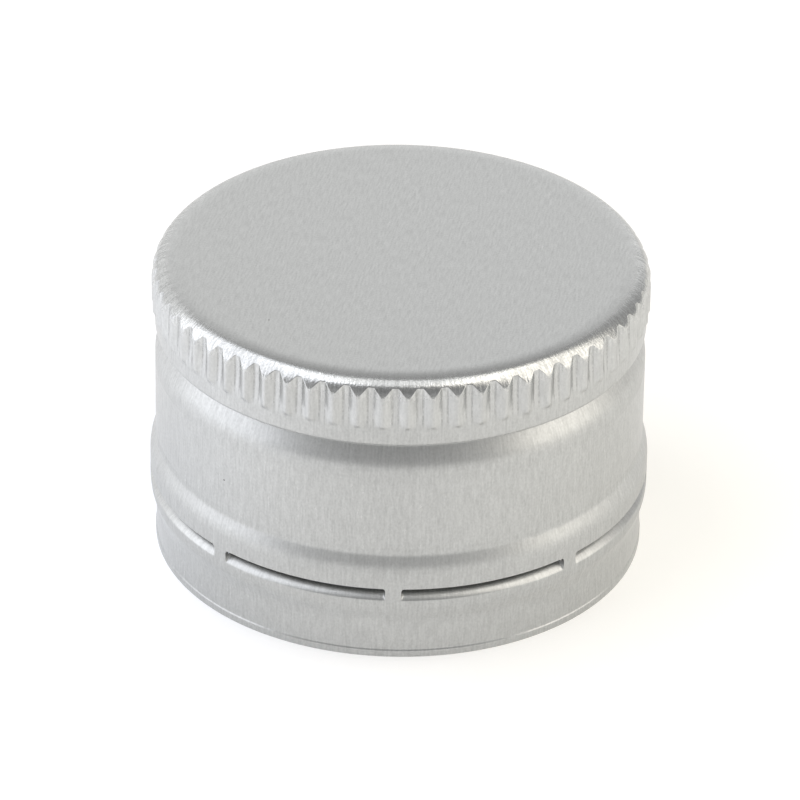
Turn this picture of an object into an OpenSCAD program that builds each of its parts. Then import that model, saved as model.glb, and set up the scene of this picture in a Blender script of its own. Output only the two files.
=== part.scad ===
// Screw cap drawn from one aluminium sheet, as it is before its threads are rolled on the bottle.
// The axis is Z, the open rim stands on z = 0 and the closed top panel faces up.

/* [Overall] */
// Diameter over the plain wall
wall_d = 28.2; // [26:0.1:32]
// Height from the rim to the top panel
cap_h = 18; // [17:0.1:24]
// Thickness of the sheet
sheet = 0.22; // [0.18:0.01:0.26]
// Outside radius where the top panel turns down into the skirt
corner_r = 1.2; // [0.9:0.05:1.6]
// Wider radius by which the top panel eases into that corner
corner_ease_r = 3.2; // [2:0.1:5]
// Sweep of the easing
corner_ease_angle = 12; // [6:1:16]

/* [Knurl] */
// Number of grooves pressed in around the top
knurl_count = 64; // [40:1:80]
// Turn of the grooves about the axis
knurl_turn = -0.9; // [-4.5:0.1:4.5]
// Distance from the top panel down to the lower ends of the grooves
knurl_h = 3.05; // [2.6:0.05:4]
// How far the ridges stand out over the plain wall
knurl_rise = 0.18; // [0.1:0.01:0.22]
// Depth of the grooves below the ridges
knurl_depth = 0.32; // [0.16:0.01:0.36]
// Width of the flat floor of a groove
knurl_floor_w = 0.33; // [0.2:0.01:0.4]
// Width of the narrow land along the top of a ridge
knurl_land_w = 0.06; // [0.04:0.01:0.12]
// Height over which the ridges run out at their lower ends
knurl_runout_h = 0.2; // [0.1:0.05:0.4]

/* [Ledge and neck] */
// Height of the plain ring under the grooves
ledge_h = 1.1; // [0.8:0.05:1.6]
// Inside radius of the bend at the ring's lower edge
ledge_bend_r = 0.06; // [0.04:0.01:0.15]
// Depth of the neck under the ledge
neck_depth = 0.55; // [0.45:0.05:0.7]
// Radius in the bottom of the neck
neck_root_r = 0.12; // [0.1:0.01:0.2]
// Rise of the neck's upper side towards the ledge
neck_roof_angle = 20; // [10:1:28]
// Lean of the neck's long lower side from the vertical
neck_side_angle = 25; // [18:1:35]
// Radius where the neck's lower side runs into the wall
neck_blend_r = 0.8; // [0.5:0.1:1.5]

/* [Bead] */
// How far the bead stands out over the plain wall
bead_rise = 0.33; // [0.2:0.01:0.5]
// Height of the bead's lower end over the rim
bead_low_z = 2.1; // [1.6:0.1:2.6]
// Height of the bead's upper end over the rim
bead_high_z = 6.9; // [6.6:0.1:8]
// Lean of the bead's two shoulders from the vertical
shoulder_angle = 20; // [16:1:26]
// Radius where a shoulder turns into the face of the bead
shoulder_face_r = 2.2; // [1.6:0.1:2.6]
// Radius where the upper shoulder leaves the wall
shoulder_top_r = 0.3; // [0.25:0.05:0.6]
// Radius where the lower shoulder runs into the band
shoulder_low_r = 2; // [1.6:0.1:2.6]

/* [Slit line] */
// Number of bridges that hold the tamper band
bridge_count = 8; // [5:1:8]
// Angle from one bridge to the next, past the last of which a longer slit closes the ring at the back
bridge_pitch = 43.5; // [36:0.1:44]
// Width of a bridge
bridge_w = 0.9; // [0.6:0.05:1.4]
// Turn of the bridges about the axis
bridge_turn = -0.8; // [-22:0.1:22]
// Open height of a slit, over the turned-in lip
slit_gap = 0.48; // [0.4:0.01:0.6]
// Radius of a slit's upper corners
slit_corner_r = 0.22; // [0.15:0.01:0.25]
// Height at which the lip starts to bend, over the lower end of the bead's face
lip_start_h = 0.18; // [0.12:0.01:0.25]
// Inside radius of the lip that turns in under a slit
lip_bend_r = 0.23; // [0.16:0.01:0.28]
// Sweep of the lip
lip_angle = 105; // [75:1:120]

/* [Rim] */
// Height of the trimmed rim
rim_h = 0.42; // [0.3:0.02:0.6]
// How far the trimmed rim stands out over the band
rim_step = 0.05; // [0.03:0.01:0.08]

/* [Liner] */
// Thickness of the sealing disc
liner_t = 1.8; // [1.2:0.1:2]
// Gap around the disc inside the knurled wall
liner_gap = 0.15; // [0.1:0.01:0.25]
// Radius of the disc's lower edge
liner_edge_r = 0.15; // [0.1:0.01:0.3]

/* [Hidden] */
$fn = 96;

// Segments in a tight bend, in the top corner and in its easing
bend_steps = 6;
corner_steps = 10;
ease_steps = 4;
// Length by which a cutter passes the face it opens
past = 1;
// Direction of the front, from which the turns are counted
front = -90;

wall_r = wall_d / 2;
crest_r = wall_r + knurl_rise;
floor_r = crest_r - knurl_depth;
neck_r = wall_r - neck_depth;
bead_r = wall_r + bead_rise;
knurl_z = cap_h - knurl_h;
knurl_pitch = 360 / knurl_count;
// Place of the first bridge, counted from the one at the front
bridge_first = -floor((bridge_count - 1) / 2);

// Centres of the top corner and of the easing that leads into it
ease_c = [
    crest_r - corner_r - (corner_ease_r - corner_r) * sin(corner_ease_angle),
    cap_h - corner_ease_r
];
corner_c = ease_c + (corner_ease_r - corner_r) * [sin(corner_ease_angle), cos(corner_ease_angle)];

// Bend at the ledge's lower edge
edge_r = ledge_bend_r + sheet;
edge_c = [wall_r - edge_r, knurl_z - ledge_h + edge_r];
// Length of the neck's straight upper side, and the centre of the bend at its root
roof_len = (edge_c.x - neck_r - neck_root_r + (edge_r + neck_root_r) * sin(neck_roof_angle))
    / cos(neck_roof_angle);
root_c = [
    neck_r + neck_root_r,
    edge_c.y - (edge_r + neck_root_r) * cos(neck_roof_angle) - roof_len * sin(neck_roof_angle)
];
// Length of the neck's straight lower side, and the centre of its blend into the wall
side_len = (wall_r - neck_blend_r - root_c.x + (neck_blend_r + neck_root_r) * cos(neck_side_angle))
    / sin(neck_side_angle);
blend_c = [
    wall_r - neck_blend_r,
    root_c.y - (neck_blend_r + neck_root_r) * sin(neck_side_angle) - side_len * cos(neck_side_angle)
];

// Bends of the shoulders, which share the bead's rise where it is small
bend_limit = bead_rise / (1 - cos(shoulder_angle)) / 2;
face_bend_r = min(shoulder_face_r, bend_limit);
top_bend_r = min(shoulder_top_r, bend_limit);
low_bend_r = min(shoulder_low_r, bend_limit);
// Lower and upper end of the bead's straight face
face_low_z = bead_low_z + shoulder_h(low_bend_r);
face_high_z = bead_high_z - shoulder_h(top_bend_r);

lip_r = lip_bend_r + sheet;
lip_z = face_low_z + lip_start_h;
slit_top_z = lip_z + lip_r * sin(min(lip_angle, 90)) + slit_gap;

liner_r = floor_r - sheet - liner_gap;
liner_top_z = cap_h - sheet;
liner_shoulder_r = corner_r - sheet;

function arc(c, r, from, to, steps = bend_steps) =
    [for (i = [0:steps]) let (a = from + (to - from) * i / steps) c + r * [cos(a), sin(a)]];

// Height taken by a shoulder that climbs the bead with two bends and a straight between them
function shoulder_len(foot_r) =
    (bead_rise - (face_bend_r + foot_r) * (1 - cos(shoulder_angle))) / sin(shoulder_angle);
function shoulder_h(foot_r) =
    (face_bend_r + foot_r) * sin(shoulder_angle) + shoulder_len(foot_r) * cos(shoulder_angle);

// Skirt line from the rim to the top corner, on the face that lies "inset" inside the outer one
function band_line(inset) = [
    [wall_r + rim_step - inset, 0],
    [wall_r + rim_step - inset, rim_h - rim_step],
    [wall_r - inset, rim_h + rim_step]
];
function bead_line(inset) = concat(
    arc([wall_r + low_bend_r, bead_low_z], low_bend_r + inset, 180, 180 - shoulder_angle),
    arc([bead_r - face_bend_r, face_low_z], face_bend_r - inset, -shoulder_angle, 0),
    arc([bead_r - face_bend_r, face_high_z], face_bend_r - inset, 0, shoulder_angle),
    arc([wall_r + top_bend_r, bead_high_z], top_bend_r + inset, 180 + shoulder_angle, 180)
);
function neck_line(inset) = concat(
    arc(blend_c, neck_blend_r - inset, 0, neck_side_angle),
    arc(root_c, neck_root_r + inset, 180 + neck_side_angle, 90 + neck_roof_angle),
    arc(edge_c, edge_r - inset, neck_roof_angle - 90, 0)
);
function knurl_line(inset) = concat(
    [
        [wall_r - inset, knurl_z],
        [crest_r - inset, knurl_z + knurl_runout_h]
    ],
    arc(corner_c, corner_r - inset, 0, 90 - corner_ease_angle, corner_steps),
    arc(ease_c, corner_ease_r - inset, 90 - corner_ease_angle * (1 - 1 / ease_steps), 90, ease_steps - 1)
);
function skirt_line(inset) = concat(
    band_line(inset), bead_line(inset), neck_line(inset), knurl_line(inset)
);

// Star outline that leaves a groove floor, two flanks and a ridge for each pitch.
// Neighbouring flanks cross just outside the ridge, so that a land stays on its top.
module knurl_star(inset) {
    half_floor = asin(knurl_floor_w / 2 / floor_r);
    half_land = asin(knurl_land_w / 2 / crest_r);
    cross_r = crest_r + knurl_depth * half_land / (knurl_pitch / 2 - half_floor - half_land);
    corners = [[floor_r, -half_floor], [floor_r, half_floor], [cross_r, knurl_pitch / 2]];
    polygon([
        for (i = [0:knurl_count - 1], corner = corners)
            let (a = front + knurl_turn + i * knurl_pitch + corner[1])
            (corner[0] - inset) * [cos(a), sin(a)]
    ]);
}

module knurl_grooves(inset) {
    translate([0, 0, knurl_z])
        linear_extrude(knurl_h + past)
            difference() {
                circle(crest_r + past);
                knurl_star(inset);
            }
}

// Solid filled out to the skirt line, open at the rim by "below"
module filled(inset, below = 0) {
    difference() {
        rotate_extrude()
            polygon(concat(
                [[0, -below], [wall_r + rim_step - inset, -below]],
                skirt_line(inset),
                [[0, cap_h - inset]]
            ));
        knurl_grooves(inset);
    }
}

// Prism along each bridge, flared at its upper end into the slits' rounded corners
module bridges() {
    corner_z = slit_top_z - slit_corner_r;
    flare = arc([bridge_w / 2 + slit_corner_r, corner_z], slit_corner_r, 180, 90, bend_steps / 2);
    side = concat([[bridge_w / 2, 0]], flare, [flare[len(flare) - 1] + [0, past]]);
    for (i = [0:bridge_count - 1])
        rotate(front + bridge_turn + (bridge_first + i) * bridge_pitch)
            rotate([90, 0, 90])
                linear_extrude(bead_r + 2 * past)
                    polygon(concat(side, [for (j = [len(side) - 1:-1:0]) [-side[j].x, side[j].y]]));
}

module slits() {
    difference() {
        rotate_extrude()
            polygon([
                [wall_r - past, lip_z],
                [bead_r + past, lip_z],
                [bead_r + past, slit_top_z],
                [wall_r - past, slit_top_z]
            ]);
        bridges();
    }
}

// Upper edge of the band, bent in under each slit
module lips() {
    lip_c = [bead_r - lip_r, lip_z];
    difference() {
        rotate_extrude()
            polygon(concat(
                [[bead_r - sheet, lip_z - sheet / 2], [bead_r, lip_z - sheet / 2]],
                arc(lip_c, lip_r, 0, lip_angle),
                arc(lip_c, lip_bend_r, lip_angle, 0)
            ));
        bridges();
    }
}

module shell() {
    color([0.74, 0.75, 0.75])
        union() {
            difference() {
                filled(0);
                filled(sheet, past);
                slits();
            }
            lips();
        }
}

module liner() {
    color([0.93, 0.93, 0.91])
        rotate_extrude()
            polygon(concat(
                [[0, liner_top_z - liner_t]],
                arc([liner_r - liner_edge_r, liner_top_z - liner_t + liner_edge_r], liner_edge_r, -90, 0),
                arc([liner_r - liner_shoulder_r, liner_top_z - liner_shoulder_r], liner_shoulder_r, 0, 90),
                [[0, liner_top_z]]
            ));
}

shell();
liner();
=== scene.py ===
import math

import bpy
from mathutils import Matrix, Vector


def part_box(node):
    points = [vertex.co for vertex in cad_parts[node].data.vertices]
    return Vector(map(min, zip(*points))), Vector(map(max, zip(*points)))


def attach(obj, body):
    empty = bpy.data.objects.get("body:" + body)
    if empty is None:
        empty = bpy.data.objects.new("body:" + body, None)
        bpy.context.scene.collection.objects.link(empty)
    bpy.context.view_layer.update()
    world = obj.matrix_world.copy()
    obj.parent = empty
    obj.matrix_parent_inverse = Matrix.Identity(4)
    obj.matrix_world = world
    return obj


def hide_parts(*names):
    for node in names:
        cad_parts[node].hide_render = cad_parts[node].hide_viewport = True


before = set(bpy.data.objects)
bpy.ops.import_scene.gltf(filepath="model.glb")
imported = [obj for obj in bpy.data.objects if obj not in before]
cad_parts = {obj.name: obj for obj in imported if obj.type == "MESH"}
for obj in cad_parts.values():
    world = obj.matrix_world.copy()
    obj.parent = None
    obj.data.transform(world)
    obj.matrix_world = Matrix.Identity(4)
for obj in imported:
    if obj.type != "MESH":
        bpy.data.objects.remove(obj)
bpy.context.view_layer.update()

MM = 0.001

# Overall size, from the frame, and the sheet, in millimetres
CAP_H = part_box("shell")[1].z / MM
WALL_R = 14.1
SHEET = 0.22
CORNER_R = 1.2
EASE_R = 3.2
EASE_ANGLE = 12

# Knurl
GROOVES = 64
GROOVE_TURN = -0.9
KNURL_H = 3.05
KNURL_RISE = 0.18
KNURL_DEPTH = 0.32
FLOOR_W = 0.33
RIDGE_RUNOUT_H = 0.4
FLOOR_RUNOUT_H = 1.5
RUNOUT_DROP = 0.08
RIDGE_ROUND = 1.4
FLOOR_SOFT = 0.02
ARCH_SOFT = 0.03

# Ledge and neck
LEDGE_H = 1.1
EDGE_R = 0.28
NECK_DEPTH = 0.55
ROOT_R = 0.12
ROOF_ANGLE = 20
SIDE_ANGLE = 25
BLEND_R = 2.0

# Bead
BEAD_RISE = 0.33
BEAD_LOW_Z = 2.1
BEAD_HIGH_Z = 6.9
SHOULDER_ANGLE = 20
FACE_BEND_R = 2.2
TOP_BEND_R = 0.7
LOW_BEND_R = 2.0

# Slit line
BRIDGES = 8
BRIDGE_PITCH = 43.5
BRIDGE_TURN = -0.8
BRIDGE_W = 0.9
SLIT_CORNER_R = 0.22
LIP_START_H = 0.18
LIP_LEN = 0.68
LIP_ANGLE = 61
LIP_BEND = 0.25
LIP_EASE_W = 0.1
SLIT_TOP_H = 0.98

# Rim
RIM_H = 0.42
RIM_STEP = 0.05

# Sealing disc
LINER_T = 1.8
LINER_GAP = 0.15
LINER_EDGE_R = 0.15

# Direction of the front, from which the turns are counted
FRONT = -90

# Turn of the mill's grain from the front-to-back line, and the specks' angle, radius, height and size
GRAIN_TURN = 9.5
SPECKS = (
    (-45.0, 10.44, 18.0, 0.06),
    (-50.8, 13.6, 13.2, 0.07),
    (-49.7, 13.6, 13.3, 0.06),
    (-44.2, 14.1, 9.1, 0.07),
)

CREST_R = WALL_R + KNURL_RISE
FLOOR_R = CREST_R - KNURL_DEPTH
BEAD_R = WALL_R + BEAD_RISE
KNURL_Z = CAP_H - KNURL_H


# Shape of the profile: rows of (radius, height, normal's two parts), in millimetres

def arc(centre, radius, start, end, steps, side=1):
    """Rows along an arc; angles in degrees from the outward direction, side -1 where the metal is outside it."""
    rows = []
    for i in range(steps + 1):
        a = math.radians(start + (end - start) * i / steps)
        c, s = math.cos(a), math.sin(a)
        rows.append((centre[0] + radius * c, centre[1] + radius * s, side * c, side * s))
    return rows


def with_supports(rows, support=0.08):
    """Adds a row close to each end of every straight, so that bends stay out of its shading."""
    made = [rows[0]]
    for last, row in zip(rows, rows[1:]):
        run = math.hypot(row[0] - last[0], row[1] - last[1])
        straight = abs(last[2] - row[2]) + abs(last[3] - row[3]) < 1e-6
        if straight and run > 4 * support:
            for share in (support / run, 1 - support / run):
                made.append(tuple(a + (b - a) * share for a, b in zip(last, row)))
        if run > 1e-6:
            made.append(row)
    return made


def shoulder_height(foot_r):
    """Height of a shoulder that climbs the bead with two bends and a straight between them."""
    lean = math.radians(SHOULDER_ANGLE)
    straight = (BEAD_RISE - (FACE_BEND_R + foot_r) * (1 - math.cos(lean))) / math.sin(lean)
    return (FACE_BEND_R + foot_r) * math.sin(lean) + straight * math.cos(lean)


FACE_LOW_Z = BEAD_LOW_Z + shoulder_height(LOW_BEND_R)
FACE_HIGH_Z = BEAD_HIGH_Z - shoulder_height(TOP_BEND_R)
LIP_Z = FACE_LOW_Z + LIP_START_H
FLAT_LIP_LEN = 0.5
SLIT_TOP_Z = FACE_LOW_Z + SLIT_TOP_H


def rim_rows():
    half = RIM_STEP / 2
    lean = math.atan(0.5)
    return [
        (WALL_R + RIM_STEP, 0, 1, 0),
        (WALL_R + RIM_STEP, RIM_H - RIM_STEP, 1, 0),
        (WALL_R + half, RIM_H, math.cos(lean), math.sin(lean)),
        (WALL_R, RIM_H + RIM_STEP, 1, 0),
    ]


def low_shoulder_rows():
    foot = arc((WALL_R + LOW_BEND_R, BEAD_LOW_Z), LOW_BEND_R, 180, 180 - SHOULDER_ANGLE, 5, -1)
    return foot + arc((BEAD_R - FACE_BEND_R, FACE_LOW_Z), FACE_BEND_R, -SHOULDER_ANGLE, 0, 5)


def high_shoulder_rows():
    face = arc((BEAD_R - FACE_BEND_R, FACE_HIGH_Z), FACE_BEND_R, 0, SHOULDER_ANGLE, 5)
    return face + arc((WALL_R + TOP_BEND_R, BEAD_HIGH_Z), TOP_BEND_R, 180 + SHOULDER_ANGLE, 180, 4, -1)


def neck_rows():
    roof, side = math.radians(ROOF_ANGLE), math.radians(SIDE_ANGLE)
    neck_r = WALL_R - NECK_DEPTH
    edge = (WALL_R - EDGE_R, KNURL_Z - LEDGE_H + EDGE_R)
    roof_len = (edge[0] - neck_r - ROOT_R + (EDGE_R + ROOT_R) * math.sin(roof)) / math.cos(roof)
    root_z = edge[1] - (EDGE_R + ROOT_R) * math.cos(roof) - roof_len * math.sin(roof)
    root = (neck_r + ROOT_R, root_z)
    side_len = (WALL_R - BLEND_R - root[0] + (BLEND_R + ROOT_R) * math.cos(side)) / math.sin(side)
    blend_z = root_z - (BLEND_R + ROOT_R) * math.sin(side) - side_len * math.cos(side)
    rows = arc((WALL_R - BLEND_R, blend_z), BLEND_R, 0, SIDE_ANGLE, 5)
    rows += arc(root, ROOT_R, 180 + SIDE_ANGLE, 90 + ROOF_ANGLE, 8, -1)
    rows += arc(edge, EDGE_R, ROOF_ANGLE - 90, 0, 9)
    return rows


def smooth_step(x):
    x = min(max(x, 0), 1)
    return x * x * (3 - 2 * x)


def smooth_min(a, b, soft):
    h = min(max(0.5 + 0.5 * (b - a) / soft, 0), 1)
    return b + (a - b) * h - soft * h * (1 - h)


# Skirt: the whole ring, its columns counted from the nearest bridge's middle

def fixed(row):
    return lambda x: row


def lip_row(share, steps=24):
    """Row along the lip: under a slit it bends in, quickly at first, and it eases out flat into each bridge."""
    def row(x):
        into = min(max((x - BRIDGE_W / 2) / LIP_EASE_W, 0), 1)
        bent = 1 - (1 - into) ** 2
        length = FLAT_LIP_LEN + (LIP_LEN - FLAT_LIP_LEN) * bent
        r, z, a = BEAD_R, LIP_Z, 0
        for i in range(steps):
            a = math.radians(LIP_ANGLE) * bent * (share * (i + 0.5) / steps) ** LIP_BEND
            r -= share * length / steps * math.sin(a)
            z += share * length / steps * math.cos(a)
        a = math.radians(LIP_ANGLE) * bent * share ** LIP_BEND
        return (r, z, math.cos(a), math.sin(a))
    return row


def over_slit_row(share):
    """Row on the bead's face, from the slit's upper edge with its round corners to the face's upper end."""
    def row(x):
        into = min(max(BRIDGE_W / 2 + SLIT_CORNER_R - x, 0), SLIT_CORNER_R)
        top = SLIT_TOP_Z - SLIT_CORNER_R + math.sqrt(SLIT_CORNER_R ** 2 - into ** 2)
        return (BEAD_R, top + (FACE_HIGH_Z - top) * share, 1, 0)
    return row


def skirt_rows(lip_steps=9):
    """Rows from the rim up to the ledge, and the index of the row at the lip's edge."""
    below = with_supports(rim_rows() + low_shoulder_rows())
    above = with_supports(high_shoulder_rows() + neck_rows() + [(WALL_R, KNURL_Z - 0.2, 1, 0)])
    rows = [fixed(row) for row in below]
    rows += [lip_row((i / lip_steps) ** 2) for i in range(lip_steps + 1)]
    lip_edge = len(rows) - 1
    rows += [over_slit_row(share) for share in (0, 0.12, 0.35, 0.7)]
    rows += [fixed(row) for row in above]
    return rows, lip_edge


def slit_columns(width, step=0.65):
    """Distances from a bridge's middle across the next slit, close together where bridges and corners are."""
    half = BRIDGE_W / 2
    near = [half * i / 3 for i in range(3)]
    near += [half + SLIT_CORNER_R * (1 - math.cos(math.radians(18 * i))) for i in range(6)]
    near.append(half + SLIT_CORNER_R + 0.15)
    free = width - 2 * near[-1]
    steps = round(free / step)
    plain = [near[-1] + free * i / steps for i in range(1, steps)]
    return near + plain + [width - x for x in reversed(near[1:])]


def skirt_columns():
    """(angle, distance to the nearest bridge's middle) round the whole ring."""
    first = -((BRIDGES - 1) // 2)
    bridges = [BRIDGE_TURN + (first + i) * BRIDGE_PITCH for i in range(BRIDGES)]
    columns = []
    for start, end in zip(bridges, bridges[1:] + [bridges[0] + 360]):
        width = math.radians(end - start) * BEAD_R
        for x in slit_columns(width):
            columns.append((start + math.degrees(x / BEAD_R), min(x, width - x)))
    return columns


def polar(r, angle, z):
    a = math.radians(angle)
    return Vector((r * math.cos(a), r * math.sin(a), z)) * MM


def zip_rings(faces, low, high, outward):
    """Triangles between two rings of (angle, vertex), whatever their counts."""
    i = j = 0
    while i < len(low) - 1 or j < len(high) - 1:
        step_low = j == len(high) - 1 or (i < len(low) - 1 and low[i + 1][0] <= high[j + 1][0])
        if step_low:
            face = (low[i][1], low[i + 1][1], high[j][1])
            i += 1
        else:
            face = (low[i][1], high[j + 1][1], high[j][1])
            j += 1
        faces.append(face if outward else face[::-1])


def groove_columns(floor_steps, corner_steps, flank_steps, ridge_steps):
    """Angles across one groove from ridge to ridge, closer together at the floor's edges and at the ridges."""
    per_mm = math.degrees(1 / CREST_R)
    pitch = 360 / GROOVES
    stops = [0, (FLOOR_W / 2 - FLOOR_SOFT) * per_mm, (FLOOR_W / 2 + 2 * FLOOR_SOFT) * per_mm]
    stops += [pitch / 2 - 0.1 * per_mm, pitch / 2]
    side = []
    for start, end, steps in zip(stops, stops[1:], (floor_steps, corner_steps, flank_steps, ridge_steps)):
        side += [start + (end - start) * i / steps for i in range(1, steps + 1)]
    return [-a for a in reversed(side)] + [0] + side


OUTER_COLUMNS = groove_columns(2, 2, 4, 2)
CORNER_COLUMNS = [i * 90 / GROOVES for i in range(-2, 3)]
INNER_COLUMNS = groove_columns(1, 1, 1, 1)


def knurl_ring_angles(columns, first):
    """Angles of the knurl's columns round the whole ring, starting with the nearest to the first one given."""
    pitch = 360 / GROOVES
    angles = []
    for i in range(GROOVES):
        for a in columns[:-1]:
            angles.append(first + (GROOVE_TURN + i * pitch + a - first) % 360)
    return sorted(angles)


def skirt_ring():
    """Mesh of the skirt: both faces of the sheet, its cut edges and the joint to the knurl's ring."""
    rows, lip_edge = skirt_rows()
    columns = skirt_columns()
    width = len(columns)
    verts = []
    for inset in (0, SHEET):
        for row in rows:
            for angle, x in columns:
                r, z, nr, nz = row(x)
                verts.append(polar(r - inset * nr, FRONT + angle, z - inset * nz))
    inner = len(rows) * width

    def is_open(row, column):
        if row < 0:
            return True
        middle = (columns[column][1] + columns[(column + 1) % width][1]) / 2
        return row == lip_edge and middle > BRIDGE_W / 2

    faces = []
    for row in range(len(rows)):
        for column in range(width):
            at, beside = row * width + column, row * width + (column + 1) % width
            under, over = is_open(row - 1, column), is_open(row, column)
            if row < len(rows) - 1 and not over:
                faces.append((at, beside, beside + width, at + width))
                faces.append((inner + at + width, inner + beside + width, inner + beside, inner + at))
            if under and not over:
                faces.append((at, inner + at, inner + beside, beside))
            if over and not under:
                faces.append((at, beside, inner + beside, inner + at))
    for column in range(width):
        left, right = is_open(lip_edge, column - 1), is_open(lip_edge, column)
        at = lip_edge * width + column
        if left and not right:
            faces.append((at, at + width, inner + at + width, inner + at))
        if right and not left:
            faces.append((at, inner + at, inner + at + width, at + width))

    top = (len(rows) - 1) * width
    for inset, columns_of_knurl, start in ((0, OUTER_COLUMNS, top), (SHEET, INNER_COLUMNS, inner + top)):
        ring = []
        for angle in knurl_ring_angles(columns_of_knurl, columns[0][0]):
            ring.append((angle, len(verts)))
            verts.append(polar(WALL_R - inset, FRONT + angle, KNURL_Z - RUNOUT_DROP))
        low = [(column[0], start + i) for i, column in enumerate(columns)]
        for closed in (low, ring):
            closed.append((closed[0][0] + 360, closed[0][1]))
        zip_rings(faces, low, ring, inset == 0)
    return verts, faces


# Knurl and top panel: one groove wide, from the ledge up over the corner to the middle of the panel

def groove_radius(angle):
    """Radius of the knurl at an angle from a groove's middle: flat floor, and a round ridge to either side."""
    across = math.radians(abs(angle)) * CREST_R
    half_pitch = math.pi / GROOVES * CREST_R
    from_ridge = abs(half_pitch - across) / (half_pitch - FLOOR_W / 2)
    ridge = CREST_R - KNURL_DEPTH * from_ridge ** RIDGE_ROUND
    return -smooth_min(-ridge, -FLOOR_R, FLOOR_SOFT)


# Radii of the panel's rings, whose vertices thin out towards the middle
PANEL_RINGS = (4, 9, 12.6)

# Centres of the top corner's arc and of the wider one that eases into it, and where the knurl's ring starts
EASE_C = (
    CREST_R - CORNER_R - (EASE_R - CORNER_R) * math.sin(math.radians(EASE_ANGLE)),
    CAP_H - EASE_R,
)
CORNER_C = (
    CREST_R - CORNER_R,
    CAP_H - EASE_R + (EASE_R - CORNER_R) * math.cos(math.radians(EASE_ANGLE)),
)
ARCH_TOP = math.degrees(math.acos((FLOOR_R - CORNER_C[0]) / CORNER_R))
RING_Z = KNURL_Z - RUNOUT_DROP


def plain_corner(inset, steps):
    """(radius, height) from the panel's edge down the corner, as far as no groove cuts into it."""
    easing = arc(EASE_C, EASE_R - inset, 90, 90 - EASE_ANGLE, 3)
    bend = arc(CORNER_C, CORNER_R - inset, 90 - EASE_ANGLE, ARCH_TOP + 5, steps)
    return [row[:2] for row in easing + bend[1:]]


def arched_column(angle, inset, steps):
    """(radius, height) down one column of the knurl: the corner, the groove's arched top, the groove, its run-out."""
    depth_r = groove_radius(angle) - inset
    bend_r = CORNER_R - inset
    meets = math.acos(min((depth_r - CORNER_C[0]) / bend_r, 1))
    top_z = CORNER_C[1] + bend_r * math.sin(math.radians(ARCH_TOP + 5))
    arch_z = CORNER_C[1] + bend_r * math.sin(meets)
    soft_h = min(ARCH_SOFT / max(math.tan(meets), 0.25), (top_z - arch_z) * 0.8)
    heights = [arch_z + soft_h + (top_z - arch_z - soft_h) * i / steps for i in range(steps - 1, 0, -1)]
    heights += [arch_z + soft_h * part for part in (1, 0.4, -0.2, -0.9, -2)]
    slope_h = heights[-1] - RING_Z - RIDGE_RUNOUT_H
    heights += [RING_Z + RIDGE_RUNOUT_H + slope_h * part for part in (0.75, 0.5, 0.25)]
    heights += [RING_Z + RIDGE_RUNOUT_H * (1 - i / steps) for i in range(steps + 1)]
    rows = []
    for z in heights:
        up = min(max((z - CORNER_C[1]) / bend_r, 0), 1)
        radius = smooth_min(CORNER_C[0] + bend_r * math.sqrt(1 - up * up), depth_r, ARCH_SOFT)
        plain_r = WALL_R - inset
        ridge_share = smooth_step((z - RING_Z) / RIDGE_RUNOUT_H)
        floor_share = min((z - RING_Z) / FLOOR_RUNOUT_H, 1)
        share = ridge_share if radius > plain_r else floor_share
        rows.append((plain_r + (radius - plain_r) * share, z))
    return rows


def knurl_wedge():
    """Mesh of one groove with its part of the corner and of the top panel, both faces of the sheet."""
    verts, faces = [], []

    def add_ring(points):
        ring = []
        for angle, r, z in points:
            ring.append((angle, len(verts)))
            verts.append(polar(r, FRONT + angle, z))
        return ring

    surfaces = ((0, OUTER_COLUMNS, CORNER_COLUMNS, 8), (SHEET, INNER_COLUMNS, INNER_COLUMNS, 3))
    for inset, columns, corner_columns, steps in surfaces:
        gaps = len(corner_columns) - 1
        rings = []
        for radius, step in zip(PANEL_RINGS, (gaps, gaps // 2, gaps // 2)):
            rings.append(add_ring([(angle, radius, CAP_H - inset) for angle in corner_columns[::step]]))
        for r, z in plain_corner(inset, steps):
            rings.append(add_ring([(angle, r, z) for angle in corner_columns]))
        down = [arched_column(angle, inset, steps) for angle in columns]
        for row in zip(*down):
            rings.append(add_ring([(angle, *place) for angle, place in zip(columns, row)]))
        for high, low in zip(rings, rings[1:]):
            zip_rings(faces, low, high, inset == 0)
        middle = len(verts)
        verts.append(Vector((0, 0, (CAP_H - inset) * MM)))
        for left, right in zip(rings[0], rings[0][1:]):
            face = (left[1], right[1], middle)
            faces.append(face if inset == 0 else face[::-1])
    return verts, faces


# Sealing disc

def disc_rows():
    top_z = CAP_H - SHEET
    radius = FLOOR_R - SHEET - LINER_GAP
    shoulder = CORNER_R - SHEET
    low = arc((radius - LINER_EDGE_R, top_z - LINER_T + LINER_EDGE_R), LINER_EDGE_R, -90, 0, 5)
    high = arc((radius - shoulder, top_z - shoulder), shoulder, 0, 90, 7)
    return with_supports(low + high)


def sealing_disc_mesh(columns=160):
    """Closed mesh of the disc, turned round its profile, with a middle vertex on each side."""
    rows = disc_rows()
    rows = [(rows[0][0] - 0.3, *rows[0][1:])] + rows + [(rows[-1][0] - 0.3, *rows[-1][1:])]
    verts = []
    for r, z, _, _ in rows:
        verts += [polar(r, 360 * i / columns, z) for i in range(columns)]
    faces = []
    for row in range(len(rows) - 1):
        for i in range(columns):
            j = (i + 1) % columns
            at, over = row * columns, (row + 1) * columns
            faces.append((at + i, at + j, over + j, over + i))
    for row, flip in ((0, True), (len(rows) - 1, False)):
        middle = len(verts)
        verts.append(Vector((0, 0, rows[row][1] * MM)))
        for i in range(columns):
            face = (row * columns + i, row * columns + (i + 1) % columns, middle)
            faces.append(face[::-1] if flip else face)
    return verts, faces


# Making of objects

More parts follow.
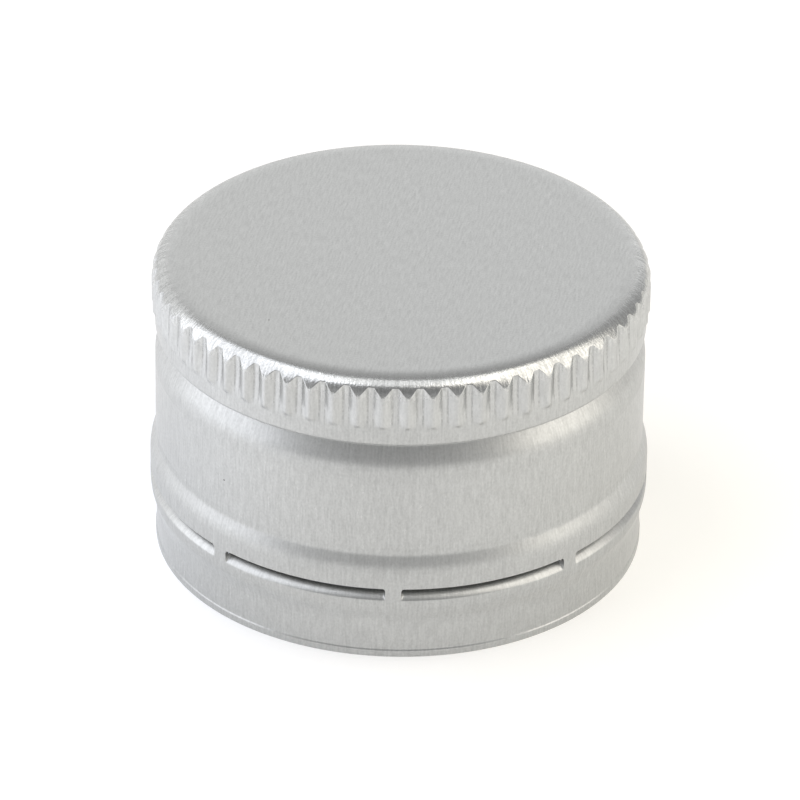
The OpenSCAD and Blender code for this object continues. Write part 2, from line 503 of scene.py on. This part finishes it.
def mesh_object(name, verts, faces):
    mesh = bpy.data.meshes.new(name)
    mesh.from_pydata([tuple(v) for v in verts], [], faces)
    mesh.update()
    made = bpy.data.objects.new(name, mesh)
    bpy.context.scene.collection.objects.link(made)
    return made


def add(tree, kind, inputs=None, **settings):
    """Adds a node with its settings; inputs maps sockets, by name or place, to values or other nodes' outputs."""
    node = tree.nodes.new(kind)
    for name, value in settings.items():
        setattr(node, name, value)
    for socket, value in (inputs or {}).items():
        if isinstance(value, bpy.types.NodeSocket):
            tree.links.new(value, node.inputs[socket])
        else:
            node.inputs[socket].default_value = value
    return node


def new_tree(name, inputs):
    """A Geometry Nodes tree with named inputs and one geometry output."""
    tree = bpy.data.node_groups.new(name, "GeometryNodeTree")
    tree.interface.new_socket("Geometry", in_out="OUTPUT", socket_type="NodeSocketGeometry")
    for label, kind in inputs.items():
        tree.interface.new_socket(label, in_out="INPUT", socket_type=kind)
    return tree, add(tree, "NodeGroupInput").outputs


def ring_of_copies():
    """Copies of one sector round the axis, turned as a whole."""
    tree, given = new_tree("ring of copies", {
        "Sector": "NodeSocketObject",
        "Copies": "NodeSocketInt",
        "Turn": "NodeSocketFloat",
    })
    pitch = add(tree, "ShaderNodeMath", {0: math.tau, 1: given["Copies"]}, operation="DIVIDE")
    place = add(tree, "GeometryNodeInputIndex")
    angle = add(tree, "ShaderNodeMath", {0: place.outputs[0], 1: pitch.outputs[0], 2: given["Turn"]},
                operation="MULTIPLY_ADD")
    turn = add(tree, "ShaderNodeCombineXYZ", {"Z": angle.outputs[0]})
    points = add(tree, "GeometryNodePoints", {"Count": given["Copies"]})
    sector = add(tree, "GeometryNodeObjectInfo", {"Object": given["Sector"]})
    copies = add(tree, "GeometryNodeInstanceOnPoints", {
        "Points": points.outputs[0],
        "Instance": sector.outputs["Geometry"],
        "Rotation": turn.outputs[0],
    })
    whole = add(tree, "GeometryNodeRealizeInstances", {"Geometry": copies.outputs[0]})
    add(tree, "NodeGroupOutput", {0: whole.outputs[0]})
    return tree


def welded_shell():
    """Knurl as a ring of copies, welded with the skirt into one closed sheet with crisp cut edges."""
    tree, given = new_tree("welded shell", {
        "Knurl wedge": "NodeSocketObject",
        "Grooves": "NodeSocketInt",
        "Groove turn": "NodeSocketFloat",
        "Skirt": "NodeSocketObject",
        "Weld distance": "NodeSocketFloat",
        "Crisp angle": "NodeSocketFloat",
        "Finish": "NodeSocketMaterial",
    })
    knurl = add(tree, "GeometryNodeGroup", node_tree=ring_of_copies())
    for socket, name in {"Sector": "Knurl wedge", "Copies": "Grooves", "Turn": "Groove turn"}.items():
        tree.links.new(given[name], knurl.inputs[socket])
    skirt = add(tree, "GeometryNodeObjectInfo", {"Object": given["Skirt"]})
    both = add(tree, "GeometryNodeJoinGeometry", {0: knurl.outputs[0]})
    tree.links.new(skirt.outputs["Geometry"], both.inputs[0])
    whole = add(tree, "GeometryNodeRealizeInstances", {0: both.outputs[0]})
    weld = add(tree, "GeometryNodeMergeByDistance", {"Geometry": whole.outputs[0], "Distance": given["Weld distance"]})
    smooth = add(tree, "GeometryNodeSetShadeSmooth", {"Geometry": weld.outputs[0], "Shade Smooth": True})
    bend = add(tree, "GeometryNodeInputMeshEdgeAngle")
    sharp = add(tree, "FunctionNodeCompare", {0: bend.outputs[0], 1: given["Crisp angle"]},
                data_type="FLOAT", operation="GREATER_THAN")
    crisp = add(tree, "GeometryNodeSetShadeSmooth", {
        "Geometry": smooth.outputs[0],
        "Selection": sharp.outputs[0],
        "Shade Smooth": False,
    }, domain="EDGE")
    finish = add(tree, "GeometryNodeSetMaterial", {"Geometry": crisp.outputs[0], "Material": given["Finish"]})
    add(tree, "NodeGroupOutput", {0: finish.outputs[0]})
    return tree


def grown(name, tree, values):
    """Plain mesh object that a Geometry Nodes tree makes from the values of its named inputs."""
    seed = mesh_object(name, [], [])
    modifier = seed.modifiers.new(name, "NODES")
    modifier.node_group = tree
    for item in tree.interface.items_tree:
        if item.in_out == "INPUT" and item.name in values:
            modifier[item.identifier] = values[item.name]
    view = bpy.context.evaluated_depsgraph_get()
    mesh = bpy.data.meshes.new_from_object(seed.evaluated_get(view), preserve_all_data_layers=True, depsgraph=view)
    seed.modifiers.clear()
    empty = seed.data
    seed.data = mesh
    bpy.data.meshes.remove(empty)
    mesh.name = name
    return seed


def linear(code):
    """Linear colour with full alpha from an sRGB hex code."""
    parts = [int(code[i:i + 2], 16) / 255 for i in (1, 3, 5)]
    return [c / 12.92 if c <= 0.04045 else ((c + 0.055) / 1.055) ** 2.4 for c in parts] + [1]


# Materials

def new_material(name):
    made = bpy.data.materials.new(name)
    made.use_nodes = True
    tree = made.node_tree
    shader = tree.nodes["Principled BSDF"]
    return made, tree, shader


def grain(tree, way, cells, detail=2):
    """Noise from 0 to 1, stretched to the given cells per millimetre along each of the way's axes."""
    scale = add(tree, "ShaderNodeVectorMath", {0: way, 1: [c / MM for c in cells]}, operation="MULTIPLY")
    return add(tree, "ShaderNodeTexNoise", {"Vector": scale.outputs[0], "Scale": 1, "Detail": detail}).outputs[0]


def mill_grain(tree, place):
    """The rolling mill's fine lines, straight across the whole sheet, nearly from the front to the back."""
    turned = add(tree, "ShaderNodeVectorRotate", {"Vector": place, "Angle": math.radians(GRAIN_TURN)},
                 rotation_type="Z_AXIS")
    return grain(tree, turned.outputs[0], (9, 1.2, 9))


def draw_lines(tree, place, height):
    """Fine lines that the drawing die leaves down the skirt and over the corner."""
    level = add(tree, "ShaderNodeVectorMath", {0: place, 1: (1, 1, 0)}, operation="MULTIPLY")
    round_it = add(tree, "ShaderNodeVectorMath", {0: level.outputs[0]}, operation="NORMALIZE")
    ring = add(tree, "ShaderNodeVectorMath", {0: round_it.outputs[0], "Scale": WALL_R * MM}, operation="SCALE")
    parts = add(tree, "ShaderNodeSeparateXYZ", {0: ring.outputs[0]})
    way = add(tree, "ShaderNodeCombineXYZ", {"X": parts.outputs["X"], "Y": parts.outputs["Y"], "Z": height})
    return grain(tree, way.outputs[0], (8, 8, 1.1))


def stretched_corner(tree, height, up):
    """1 on the top corner, where the sheet was stretched and its streaks are strong, else 0."""
    high = add(tree, "ShaderNodeMapRange", {"Value": height, "From Min": 16.8 * MM, "From Max": 17.2 * MM})
    tilted = add(tree, "ShaderNodeMapRange", {"Value": up, "From Min": 0.99, "From Max": 0.93})
    return add(tree, "ShaderNodeMath", {0: high.outputs[0], 1: tilted.outputs[0]}, operation="MULTIPLY").outputs[0]


def knurled(tree, height):
    """1 on the knurl, else 0: there the colour is lightened as a painted reflection and the painted crease shade is
    laid.
    """
    low = add(tree, "ShaderNodeMapRange", {"Value": height, "From Min": 15.0 * MM, "From Max": 15.4 * MM})
    high = add(tree, "ShaderNodeMapRange", {"Value": height, "From Min": 17.5 * MM, "From Max": 17.3 * MM})
    return add(tree, "ShaderNodeMath", {0: low.outputs[0], 1: high.outputs[0]}, operation="MULTIPLY").outputs[0]


def crease_shade_lines(tree, parts, knurl, speckle):
    """Broken dark line along both edges of each groove's floor: painted shade in the creases where the floor meets the
    flanks.
    """
    angle = add(tree, "ShaderNodeMath", {0: parts["Y"], 1: parts["X"]}, operation="ARCTAN2")
    turned = add(tree, "ShaderNodeMath", {0: angle.outputs[0], 1: math.radians(FRONT + GROOVE_TURN)},
                 operation="SUBTRACT")
    apart = add(tree, "ShaderNodeMath", {0: turned.outputs[0], 1: math.pi / GROOVES}, operation="PINGPONG")
    off = add(tree, "ShaderNodeMath", {0: apart.outputs[0], 1: FLOOR_W / 2 / CREST_R, 2: 0.06 / CREST_R},
              operation="COMPARE")
    edge = add(tree, "ShaderNodeMath", {0: knurl, 1: off.outputs[0]}, operation="MULTIPLY")
    broken_crease_shade = add(tree, "ShaderNodeMapRange", {"Value": speckle, "From Min": 0.35, "From Max": 0.6})
    return add(tree, "ShaderNodeMath", {0: edge.outputs[0], 1: broken_crease_shade.outputs[0]}, operation="MULTIPLY").outputs[0]


def rolled(tree, height):
    """1 in the neck and on the bead, which the rollers have dulled, else 0."""
    neck = add(tree, "ShaderNodeMath", {0: height, 1: 12.7 * MM, 2: 1.2 * MM}, operation="COMPARE")
    bead = add(tree, "ShaderNodeMath", {0: height, 1: 5.2 * MM, 2: 2 * MM}, operation="COMPARE")
    return add(tree, "ShaderNodeMath", {0: neck.outputs[0], 1: bead.outputs[0]}, operation="MAXIMUM").outputs[0]


def specks(tree, place):
    """1 on the few tiny dark specks that the photograph shows, else 0."""
    found = None
    for angle, r, z, size in SPECKS:
        away = add(tree, "ShaderNodeVectorMath", {0: place, 1: polar(r, FRONT + angle, z)}, operation="DISTANCE")
        spot = add(tree, "ShaderNodeMapRange", {
            "Value": away.outputs["Value"],
            "From Min": size * MM,
            "From Max": 0.4 * size * MM,
        })
        if found is None:
            found = spot.outputs[0]
        else:
            found = add(tree, "ShaderNodeMath", {0: found, 1: spot.outputs[0]}, operation="MAXIMUM").outputs[0]
    return found


def rolled_aluminium():
    """Bare rolled sheet, deep drawn: a satin grey mirror, finely lined, streaky where the corner stretched it."""
    made, tree, shader = new_material("rolled aluminium, drawn")
    place = add(tree, "ShaderNodeTexCoord").outputs["Object"]
    parts = add(tree, "ShaderNodeSeparateXYZ", {0: place}).outputs
    facing = add(tree, "ShaderNodeNewGeometry").outputs["Normal"]
    up = add(tree, "ShaderNodeSeparateXYZ", {0: facing}).outputs["Z"]

    # Lines across the panel and down the skirt, with a finer speckle between them, a pixel or two at least
    panel = add(tree, "ShaderNodeMapRange", {"Value": up, "From Min": 0.97, "From Max": 0.998})
    lines = add(tree, "ShaderNodeMix", {
        "Factor": panel.outputs[0],
        "A": draw_lines(tree, place, parts["Z"]),
        "B": mill_grain(tree, place),
    }, data_type="FLOAT")
    speckle = grain(tree, place, (9, 9, 6), 3)
    both = add(tree, "ShaderNodeMath", {0: lines.outputs[0], 1: speckle}, operation="ADD")
    swing = add(tree, "ShaderNodeMath", {0: both.outputs[0], 1: 1}, operation="SUBTRACT")

    # The swing of lines and speckle about their mean grows on the corner
    corner = stretched_corner(tree, parts["Z"], up)
    gain = add(tree, "ShaderNodeMapRange", {"Value": corner, "To Min": 0.95, "To Max": 2.2})
    marks = add(tree, "ShaderNodeMath", {0: swing.outputs[0], 1: gain.outputs[0], 2: 0.5}, operation="MULTIPLY_ADD")
    sheen = add(tree, "ShaderNodeMix", {
        "Factor": marks.outputs[0],
        6: linear("#AFB0AF"),
        7: linear("#CFD0CF"),
    }, data_type="RGBA")
    knurl = knurled(tree, parts["Z"])
    # Painted reflection: the knurl's colour is lightened towards a paler grey, standing in for the brighter table it
    # mirrors.
    knurl_reflection_share = add(tree, "ShaderNodeMath", {0: knurl, 1: 0.14}, operation="MULTIPLY")
    painted_knurl_reflection = add(tree, "ShaderNodeMix", {
        "Factor": knurl_reflection_share.outputs[0],
        6: sheen.outputs[2],
        7: linear("#E9EAEA"),
    }, data_type="RGBA")
    # Painted shade: broken dark lines in the creases at the edges of each groove's floor.
    dark = add(tree, "ShaderNodeMath", {0: crease_shade_lines(tree, parts, knurl, speckle), 1: 0.3},
               operation="MULTIPLY")
    broken_crease_shade = add(tree, "ShaderNodeMix", {
        "Factor": dark.outputs[0],
        6: painted_knurl_reflection.outputs[2],
        7: linear("#3A3A3A"),
    }, data_type="RGBA")
    spotted = add(tree, "ShaderNodeMix", {
        "Factor": specks(tree, place),
        6: broken_crease_shade.outputs[2],
        7: linear("#5A5552"),
    }, data_type="RGBA")
    tree.links.new(spotted.outputs[2], shader.inputs["Base Color"])

    satin = add(tree, "ShaderNodeMapRange", {"Value": marks.outputs[0], "To Min": 0.34, "To Max": 0.26})
    sharper = add(tree, "ShaderNodeMath", {0: corner, 1: -0.07, 2: satin.outputs[0]}, operation="MULTIPLY_ADD")
    duller = add(tree, "ShaderNodeMath", {0: rolled(tree, parts["Z"]), 1: 0.1, 2: sharper.outputs[0]},
                 operation="MULTIPLY_ADD")
    tree.links.new(duller.outputs[0], shader.inputs["Roughness"])
    relief = add(tree, "ShaderNodeBump", {"Height": marks.outputs[0], "Strength": 1, "Distance": 0.004 * MM})
    tree.links.new(relief.outputs[0], shader.inputs["Normal"])
    shader.inputs["Metallic"].default_value = 1
    return made


def foamed_polyethylene():
    """Foamed polyethylene with a smooth skin: white, a soft sheen, faint cells just under the surface."""
    made, tree, shader = new_material("foamed polyethylene")
    place = add(tree, "ShaderNodeTexCoord").outputs["Object"]
    cells = grain(tree, place, (3, 3, 3), 4)
    tone = add(tree, "ShaderNodeMix", {
        "Factor": cells,
        6: linear("#E6E6E1"),
        7: linear("#F6F6F3"),
    }, data_type="RGBA")
    tree.links.new(tone.outputs[2], shader.inputs["Base Color"])
    sheen = add(tree, "ShaderNodeMapRange", {"Value": cells, "To Min": 0.62, "To Max": 0.48})
    tree.links.new(sheen.outputs[0], shader.inputs["Roughness"])
    relief = add(tree, "ShaderNodeBump", {"Height": cells, "Strength": 0.6, "Distance": 0.03 * MM})
    tree.links.new(relief.outputs[0], shader.inputs["Normal"])
    return made


# Pieces

def drawn_shell():
    wedge = mesh_object("knurl_wedge", *knurl_wedge())
    skirt = mesh_object("skirt_ring", *skirt_ring())
    shell = grown("drawn_shell", welded_shell(), {
        "Knurl wedge": wedge,
        "Grooves": GROOVES,
        "Groove turn": math.radians(GROOVE_TURN),
        "Skirt": skirt,
        "Weld distance": 0.001 * MM,
        "Crisp angle": math.radians(50),
        "Finish": rolled_aluminium(),
    })
    for helper in (wedge, skirt):
        bpy.data.meshes.remove(helper.data)
    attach(shell, "root")
    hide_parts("shell")
    return shell


def sealing_disc():
    disc = mesh_object("sealing_disc", *sealing_disc_mesh())
    disc.data.shade_smooth()
    disc.data.materials.append(foamed_polyethylene())
    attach(disc, "root")
    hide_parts("liner")
    return disc


# Studio

def photo_camera():
    """Camera at the photograph's angle: from the front, looking down on the cap, with its slight roll."""
    elevation, roll = math.radians(31.04), math.radians(0.82)
    distance, lens = 0.352, 274.0
    back = Vector((0, -math.cos(elevation), math.sin(elevation)))
    level = Vector((1, 0, 0))
    upright = back.cross(level)
    right = level * math.cos(roll) + upright * math.sin(roll)
    up = upright * math.cos(roll) - level * math.sin(roll)
    look = Vector((0, 0, 9.05)) * MM + right * 0.018 * MM - up * 0.5185 * MM
    data = bpy.data.cameras.new("photo camera")
    data.lens = lens
    data.clip_start, data.clip_end = 0.02, 20
    camera = bpy.data.objects.new("photo_camera", data)
    camera.matrix_world = Matrix.Translation(look + back * distance) @ Matrix((right, up, back)).transposed().to_4x4()
    bpy.context.scene.collection.objects.link(camera)
    bpy.context.scene.camera = camera


def seen_directly(tree):
    """1 for the camera's rays and for those in a reflection or through clear material, else 0."""
    path = add(tree, "ShaderNodeLightPath")
    mirrored = add(tree, "ShaderNodeMath", {0: path.outputs["Is Camera Ray"], 1: path.outputs["Is Glossy Ray"]},
                   operation="MAXIMUM")
    seen = add(tree, "ShaderNodeMath", {0: mirrored.outputs[0], 1: path.outputs["Is Transmission Ray"]},
               operation="MAXIMUM")
    return seen.outputs[0]


def table_glow(tree, place):
    """Strength and tint of the table's glow, painted light that stands in for a light tent's walls: brighter beside
    the cap, most far out on the left, a little dimmer behind, cool on the left and warm on the right.
    """
    level = add(tree, "ShaderNodeVectorMath", {0: place, 1: (1, 1, 0)}, operation="MULTIPLY")
    way = add(tree, "ShaderNodeVectorMath", {0: level.outputs[0]}, operation="NORMALIZE")
    away = add(tree, "ShaderNodeVectorMath", {0: level.outputs[0]}, operation="LENGTH").outputs["Value"]
    parts = add(tree, "ShaderNodeSeparateXYZ", {0: way.outputs[0]}).outputs
    side = parts["X"]
    square = add(tree, "ShaderNodeMath", {0: side, 1: side}, operation="MULTIPLY")
    # Painted light: the glow beside the cap rises outwards on the left and stays low on the right.
    reach = {"Value": away, "From Min": 20 * MM, "From Max": 48 * MM}
    left = add(tree, "ShaderNodeMapRange", {**reach, "To Min": 0.21, "To Max": 0.42})
    right = add(tree, "ShaderNodeMapRange", {**reach, "To Min": 0.07, "To Max": 0.08})
    share = add(tree, "ShaderNodeMapRange", {
        "Value": side,
        "From Min": -1,
        "From Max": 1,
        "To Min": left.outputs[0],
        "To Max": right.outputs[0],
    })
    close = {"Value": away, "From Min": 16 * MM, "From Max": 32 * MM}
    around = add(tree, "ShaderNodeMapRange", {**close, "To Min": 0.26, "To Max": 0.27})
    # Painted shade: the glow is a little dimmer behind the cap.
    behind = add(tree, "ShaderNodeMapRange", {"Value": parts["Y"], "From Min": -0.3, "From Max": 0.5, "To Max": 0.045})
    ahead = add(tree, "ShaderNodeMath", {0: around.outputs[0], 1: behind.outputs[0]}, operation="SUBTRACT")
    beside = add(tree, "ShaderNodeMath", {0: square.outputs[0], 1: share.outputs[0], 2: ahead.outputs[0]},
                 operation="MULTIPLY_ADD")
    seen = add(tree, "ShaderNodeMath", {0: seen_directly(tree), 1: beside.outputs[0]}, operation="MULTIPLY")
    # Painted tint of light: cool on the left, warm on the right.
    half = add(tree, "ShaderNodeMapRange", {"Value": side, "From Min": -1, "From Max": 1})
    tint = add(tree, "ShaderNodeMix", {
        "Factor": half.outputs[0],
        6: linear("#F1F5FF"),
        7: linear("#FFFDF5"),
    }, data_type="RGBA")
    camera = add(tree, "ShaderNodeLightPath").outputs["Is Camera Ray"]
    whiter = add(tree, "ShaderNodeMath", {0: camera, 1: 0.1, 2: seen.outputs[0]}, operation="MULTIPLY_ADD")
    return whiter.outputs[0], tint.outputs[2]


def pale_floor(half=3.0):
    """Wide pale table top, white to the eye where no shadow falls."""
    corners = [(-half, -half, 0), (half, -half, 0), (half, half, 0), (-half, half, 0)]
    floor = mesh_object("pale_floor", corners, [(0, 1, 2, 3)])
    made, tree, shader = new_material("matt white table top")
    shader.inputs["Base Color"].default_value = linear("#D6D5D3")
    shader.inputs["Roughness"].default_value = 0.9
    shader.inputs["Specular IOR Level"].default_value = 0
    place = add(tree, "ShaderNodeTexCoord").outputs["Object"]
    strength, tint = table_glow(tree, place)
    tree.links.new(strength, shader.inputs["Emission Strength"])
    tree.links.new(tint, shader.inputs["Emission Color"])
    floor.data.materials.append(made)


def softbox(name, azimuth, elevation, distance, width, height, radiance, tint):
    """Square softbox that faces the cap, azimuth counted from the front towards the right."""
    a, e = math.radians(azimuth), math.radians(elevation)
    away = Vector((math.sin(a) * math.cos(e), -math.cos(a) * math.cos(e), math.sin(e)))
    data = bpy.data.lights.new(name, "AREA")
    data.shape = "RECTANGLE"
    data.size, data.size_y = width, height
    data.energy = radiance * math.pi * width * height
    data.color = linear(tint)[:3]
    lamp = bpy.data.objects.new(name, data)
    lamp.matrix_world = Matrix.Translation(away * distance) @ away.to_track_quat("Z", "Y").to_matrix().to_4x4()
    bpy.context.scene.collection.objects.link(lamp)


def studio_world():
    """Grey room, white backdrop low down behind the cap, a little to the left, and dark behind the photographer."""
    world = bpy.data.worlds.new("studio")
    world.use_nodes = True
    bpy.context.scene.world = world
    tree = world.node_tree
    way = add(tree, "ShaderNodeTexCoord").outputs["Generated"]
    height = add(tree, "ShaderNodeSeparateXYZ", {0: way}).outputs["Z"]
    low = add(tree, "ShaderNodeMapRange", {"Value": height, "From Min": 0.80, "From Max": 0.52},
              interpolation_type="SMOOTHSTEP")
    back = add(tree, "ShaderNodeVectorMath", {0: way, 1: (-0.4, 1, 0)}, operation="DOT_PRODUCT")
    behind = add(tree, "ShaderNodeMapRange", {"Value": back.outputs["Value"], "From Min": 0.3, "From Max": 0.8},
                 interpolation_type="SMOOTHSTEP")
    backdrop = add(tree, "ShaderNodeMath", {0: low.outputs[0], 1: behind.outputs[0]}, operation="MULTIPLY")
    front = add(tree, "ShaderNodeVectorMath", {0: way, 1: (0, -0.64, 0.77)}, operation="DOT_PRODUCT")
    dark = add(tree, "ShaderNodeMapRange", {
        "Value": front.outputs["Value"],
        "From Min": 0.8,
        "From Max": 0.97,
        "To Min": 0.42,
        "To Max": 0.3,
    }, interpolation_type="SMOOTHSTEP")
    room = add(tree, "ShaderNodeMix", {
        "Factor": backdrop.outputs[0],
        "A": dark.outputs[0],
        "B": 1.05,
    }, data_type="FLOAT")
    tree.links.new(room.outputs[0], tree.nodes["Background"].inputs["Strength"])
    tree.nodes["Background"].inputs["Color"].default_value = linear("#FFFFFF")


def studio():
    photo_camera()
    pale_floor()
    studio_world()
    softbox("ceiling softbox", 0, 83, 0.7, 0.74, 0.45, 0.9, "#FFFFFF")
    softbox("left softbox", -85, 36, 0.6, 0.66, 0.96, 1.42, "#F6F8FF")
    softbox("right softbox", 79, 36, 0.6, 0.56, 0.96, 1.5, "#FFF9EE")
    bpy.context.scene.view_settings.view_transform = "Standard"


studio()
drawn_shell()
sealing_disc()
